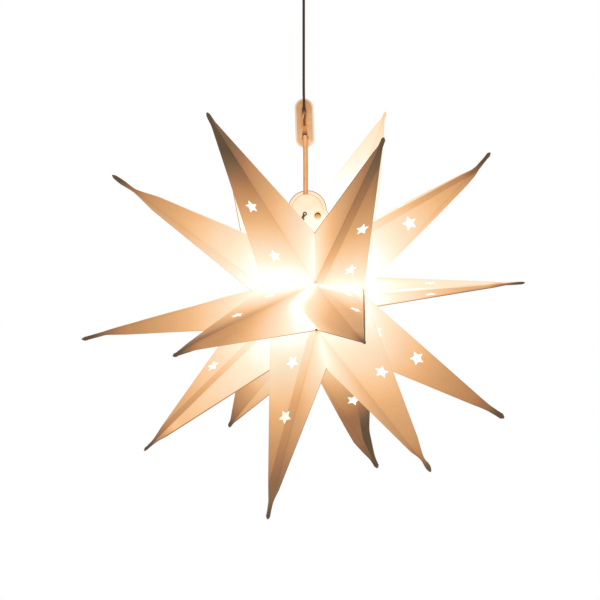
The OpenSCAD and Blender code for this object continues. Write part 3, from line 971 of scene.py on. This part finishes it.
def roundedCopy(node, name, width):
    made = linked(name, frame["nodes"][node].data.copy())
    outwards(made)
    softEdges(made, width * mm)
    return made


def bar(size, place):
    bpy.ops.mesh.primitive_cube_add(size=1, location=place)
    made = bpy.context.active_object
    made.scale = [c * mm for c in size]
    intoMesh(made)
    return made


def wireAlong(name, points, radius):
    curve = bpy.data.curves.new(name, "CURVE")
    curve.dimensions = "3D"
    curve.bevel_depth = radius * mm
    curve.bevel_resolution = 3
    curve.use_fill_caps = True
    spline = curve.splines.new("POLY")
    spline.points.add(len(points) - 1)
    for point, place in zip(spline.points, points):
        point.co = (*place, 1)
    useOnly(linked(name, curve))
    bpy.ops.object.convert(target="MESH")
    bpy.ops.object.shade_smooth()
    return bpy.context.active_object


def finishMaterial(name, colour, roughness, metallic=0.0, glow=0.0, grain=300, shade=0.82, coat=0.0):
    made, net = material(name)
    cloud = net.speckle(40, 3)
    fine = net.speckle(grain, 3)
    dark = tuple(c * shade for c in colour[:3]) + (1.0,)
    body = net.mixed(cloud.fade(0.25, 0.8), dark, colour)
    net.surface(Base_Color=body, Roughness=roughness + (fine - 0.5) * 0.15, Metallic=metallic,
                Emission_Color=net.tinted(body, glow), Emission_Strength=1.0, Coat_Weight=coat,
                Coat_Roughness=0.2, Normal=net.bump(fine, 0.00006))
    return made


whitePlastic = finishMaterial("white plastic", tone(238, 235, 228), 0.35, shade=0.94, coat=0.2)
blockPlastic = finishMaterial("connector plastic", tone(226, 222, 210), 0.5, shade=0.9)
holderPlastic = finishMaterial("lamplit white plastic", tone(236, 214, 180), 0.35, glow=0.35, shade=0.9,
                               coat=0.2)
brass = finishMaterial("stamped brass", tone(205, 165, 90), 0.3, 1.0, grain=900)
zinc = finishMaterial("zinc steel", tone(190, 192, 196), 0.35, 1.0, grain=700, shade=0.7)
lampMetal = finishMaterial("rolled lamp base", tone(205, 204, 200), 0.3, 1.0, grain=700)
lampGlass = finishMaterial("frosted lamp glass", tone(255, 246, 224), 0.4, glow=1.3, shade=0.97)
# the wire's glow is painted lamplight
brownWire = finishMaterial("brown coated wire", tone(120, 72, 38), 0.5, glow=0.2, grain=1500, shade=0.6)

# outline: how dark the painted shade along each tab's edge is
for end, step, y, outline in (("front", tabs["step"], -tabs["apart"], 0.24),
                              ("rear", 0, tabs["apart"], 0.55)):
    dress(makeTab(f"{end}_tab_paper", step, y), makeTabMaterial(f"{end} tab paper", outline),
          "star", "tab_paper", f"{end}_tab")
print("tabs folded")

eyelet = {"profile": [(tiny, -1.4), (1.6, -1.3), (1.8, -1.0), (1.8, 3.2), (2.3, 3.75), (3.3, 3.95),
                      (4.4, 3.7), (5.1, 3.0), (5.2, 2.65), (2.6, 2.65), (2.6, -2.6), (4.0, -2.6),
                      (4.0, -3.1), (3.5, -3.4), (1.8, -3.4), (1.6, -2.3), (tiny, -2.2)],
          # radii where the colour changes: the lit middle, then a dark crescent of painted shadow this much
          # off centre
          "middle": (1.6, 2.6), "crescent": ((2.5, 3.1), (3.9, 3.4)), "below": 1.0}


def makeEyeletMaterial():
    made, net = material("warm eyelet brass")
    middle = starPlace @ Vector((tabs["eyelet"][0] * mm, 0, tabs["eyelet"][1] * mm))
    flat = Vector((middle.x, 0, middle.z))
    across = net.node("ShaderNodeVectorMath", {"operation": "MULTIPLY"}, {0: net.place(), 1: (1, 0, 1)})
    toMiddle, toLower = [net.node("ShaderNodeVectorMath", {"operation": "DISTANCE"}, {0: across, 1: spot}, 1)
                         for spot in (flat, flat - Vector((0, 0, eyelet["below"] * mm)))]
    fades = zip((toMiddle, toLower, toMiddle), (eyelet["middle"], *eyelet["crescent"]))
    outer, inShade, inRing = [distance.fade(start * mm, end * mm) for distance, (start, end) in fades]
    shaded = inShade * inRing
    fine = net.speckle(900, 3)
    body = net.mixed(outer, tone(240, 186, 104), tone(244, 214, 160))
    body = net.mixed(shaded, body, tone(84, 46, 16))
    # the eyelet glows with painted lamplight
    net.surface(Base_Color=net.tinted(body, 0.5), Roughness=0.4 + (fine - 0.5) * 0.2, Metallic=0.2,
                Emission_Color=net.tinted(body, 0.5), Emission_Strength=1.0, Specular_IOR_Level=0.3,
                Normal=net.bump(fine, 0.00004))
    return made


eyeletPiece = turned("brass_eyelet", eyelet["profile"], 48, upright,
                     (tabs["eyelet"][0] * mm, 0, tabs["eyelet"][1] * mm), closed=False)
eyeletPiece.data.transform(starPlace)
softEdges(eyeletPiece, 0.12 * mm)
dress(eyeletPiece, makeEyeletMaterial(), "star", "eyelet_brass", "tab_eyelet")

tie = {"foot": (-7.6, 106.4), "way": (0.55, 0.83), "length": 5.6, "turns": 1.25, "apart": 1.0, "loop": 1.9,
       "front": -4.2, "wire": 0.85, "splay": 1.6}


def makeTie():  # a wire doubled back on itself, twisted, with its bend left as a small eye
    way = Vector((tie["way"][0], 0, tie["way"][1])).normalized()
    side = Vector((way.z, 0, -way.x))
    foot = Vector((tie["foot"][0], tie["front"], tie["foot"][1]))
    strands = []
    for half in (0, math.pi):
        strand = []
        for t in [k / 16 for k in range(17)]:
            turn = half + 2 * math.pi * tie["turns"] * t
            spread = tie["apart"] * (1 + tie["splay"] * max(0.25 - t, 0) * 4)
            strand.append(foot + way * tie["length"] * t
                          + (side * math.cos(turn) + Vector((0, 1, 0)) * math.sin(turn) * 0.9) * spread)
        strands.append(strand)
    neck = foot + way * (tie["length"] + tie["loop"] * 0.9)
    if (strands[0][-1] - strands[1][-1]).dot(side) <= 0:
        side = -side
    eye = [neck + (way * -math.cos(a) + side * math.sin(a)) * tie["loop"]
           for a in [math.radians(d) for d in range(40, 321, 20)]]
    route = [p * mm for p in strands[0] + eye + list(reversed(strands[1]))]
    made = wireAlong("twisted_tie", smoothRoute(route, 3), tie["wire"])
    made.data.transform(starPlace)
    return made


dress(makeTie(), brownWire, "star", "tie_wire", "tab_hook")
print("eyelet and tie made")


# Lamp holder and bulb

hangX = hangPoint.x
holder = {
    "cap": [(3.6, -383.5), (4.1, -383), (6.3, -383), (7.0, -383.3), (10.5, -385.6), (12.9, -389.6),
            (13.9, -394), (14, -402.5), (13.6, -403), (12.45, -403), (12.45, -395), (11.4, -390.3),
            (9.5, -386.9), (6.2, -384.6), (3.6, -384.6)],
    "body": [(tiny, -395), (11.9, -395), (12.35, -395.5), (12.35, -403.1), (13.6, -403.1), (14, -403.5),
             (14, -407.6), (13.5, -408), (13.5, -408.8), (14, -409.2), (14, -434.3), (13.4, -435),
             (8.1, -435), (7.65, -434.5), (7.65, -407), (tiny, -407)],
    "glass": [(tiny, -437), (8.4, -437), (8.6, -438.5), (9.1, -440), (10.3, -441.1)]
             + arc((0, -461), 22.5, 57, -89.98, 26),
    "base": [(tiny, -412), (6.2, -412), (6.6, -413)]
            + [(6.95 - 0.45 * (k % 2), -414 - 1.4 * k) for k in range(14)]  # the rolled thread
            + [(6.95, -433.5), (7.0, -437), (tiny, -437)],
}
for name, profile, node, body, finish, slot, closed, edge in (
        ("holder_cap_shell", "cap", "holder_cap", "pendant", holderPlastic, "holder_plastic", True, 0.25),
        ("holder_body_shell", "body", "holder_body", "pendant", holderPlastic, "holder_plastic", False, 0.25),
        ("lamp_globe", "glass", "bulb_glass", "bulb", lampGlass, "lamp_glass", False, 0.1),
        ("lamp_screw_base", "base", "bulb_base", "bulb", lampMetal, "lamp_metal", False, 0.1)):
    piece = turned(name, holder[profile], 72, place=(hangX, 0, 0), closed=closed)
    softEdges(piece, edge * mm)
    dress(piece, finish, body, slot, node)
print("lamp holder and bulb made")


# Ceiling cup and its fittings

cup = {
    "shell": [(38.4, -0.3), (38.7, 0), (39.6, 0), (40, -0.4), (40, -8.6), (39.6, -8.9), (39.6, -9.5),
              (40, -9.8)]
             + arc((11, -12), 29, 0, -84, 16, 24 / 29)
             + [(12.4, -36.2), (11.4, -36.9), (11, -38), (11, -40.4), (10.5, -41), (7.35, -41)]
             + arc((0, -41), 7.35, 10, 46, 6)
             + [(4.9, -35.2), (5.2, -34.4), (11, -34.4)] + arc((11, -12), 27.4, -84, 0, 14, 22.4 / 27.4),
    "collar": [(7.35, -41.25), (10.5, -41.25), (11, -41.7), (11, -45.4), (10.1, -46.5), (6.7, -46.5),
               (6.25, -46.1), (6.25, -44.9), (6.9, -43.5), (7.2, -42.4)],
    "bead": arc((0, -41), 7, 50, -50, 16) + [(3.5, -41)],
    "flutes": 24, "screwHole": 1.5, "screwAt": (39, 0, -6),
    # the screws' slots: their size and place on the right
    "sideSlot": ((1.4, 5, 0.8), (41.7, 0, -6)), "clampSlot": ((3.4, 1.2, 0.7), (5, -5, -7.5)),
}


def bothSides(x, y, z):  # a place in mm, to the left and to the right
    return [Vector((side * x, y, z)) * mm for side in (-1, 1)]


shell = turned("cup_shell", cup["shell"], 96)
cutOut(shell, [roundCutter(cup["screwHole"] * mm, 8 * mm, place, (0, math.radians(90), 0))
               for place in bothSides(*cup["screwAt"])])
softEdges(shell, 0.2 * mm, angle=40)
dress(shell, whitePlastic, "ceiling", "cup_plastic", "ceiling_cup")
collar = turned("outlet_nut", cup["collar"], 96)
flute(collar, 10.9, cup["flutes"], 0.5)
softEdges(collar, 0.15 * mm, angle=28)
dress(collar, whitePlastic, "ceiling", "cup_plastic", "outlet_collar")
bead = turned("swivel_bead", cup["bead"], 64)
softEdges(bead, 0.15 * mm, angle=40)
dress(bead, whitePlastic, "bead", "cup_plastic", "outlet_bead")

for node, name, edge, finish, slot, cut in (
        ("ceiling_strap", "bent_strap", 0.3, zinc, "zinc_steel", None),
        ("terminal_block", "connector_block", 0.6, blockPlastic, "block_plastic", None),
        ("cup_screws", "side_screws", 0.25, zinc, "zinc_steel", "sideSlot"),
        ("terminal_screws", "clamp_screws", 0.2, brass, "socket_brass", "clampSlot")):
    piece = roundedCopy(node, name, edge)
    if cut:
        size, place = cup[cut]
        cutOut(piece, [bar(size, spot) for spot in bothSides(*place)])
    dress(piece, finish, "ceiling", slot, node)
for node, finish in (("socket_sleeve", brass), ("socket_contact", brass), ("bulb_contact", brass),
                     ("supply_lead", cordPiece.data.materials[0])):
    mesh = frame["nodes"][node].data
    mesh.materials.clear()
    mesh.materials.append(finish)
print("ceiling cup made")


# Light, background and floor

studio = {"lamps": [("key", (-1.4, -2.0, 0.9), 26), ("fill", (1.8, -1.2, -0.4), 12)],  # name, place, power
          "lampSize": 1.2, "world": 0.5, "floor": -3.4, "floorSize": 6}


def makeWorld():
    world = bpy.data.worlds.new("pale room")
    bpy.context.scene.world = world
    net = Net(world)
    seen, mirrored, through = [net.node("ShaderNodeLightPath", {}, (), f"Is {kind} Ray")
                               for kind in ("Camera", "Glossy", "Transmission")]
    white = (seen + mirrored + through).least(1.0)
    strength = white * (1 - studio["world"]) + studio["world"]
    shader = net.node("ShaderNodeBackground", {}, {"Color": (1, 1, 1, 1), "Strength": strength})
    net.node("ShaderNodeOutputWorld", {}, {"Surface": shader})


def addLamp(name, place, power):
    bpy.ops.object.light_add(type="AREA", location=place)
    made = bpy.context.active_object
    made.name = name
    made.data.size = studio["lampSize"]
    made.data.energy = power
    aimAt = starPlace.translation - Vector(place)
    made.rotation_euler = aimAt.to_track_quat("-Z", "Y").to_euler()


def makeFloor():
    bpy.ops.mesh.primitive_plane_add(size=studio["floorSize"], location=(0, 0, studio["floor"]))
    floor = added("floor")
    made, net = material("pale floor")
    cloud = net.speckle(3, 2)
    net.surface(Base_Color=net.mixed(cloud, tone(240, 239, 236), tone(248, 247, 245)), Roughness=0.7)
    floor.data.materials.append(made)


makeWorld()
for lampPlan in studio["lamps"]:
    addLamp(*lampPlan)
makeFloor()
bpy.context.scene.view_settings.view_transform = "Standard"
print("stage set")
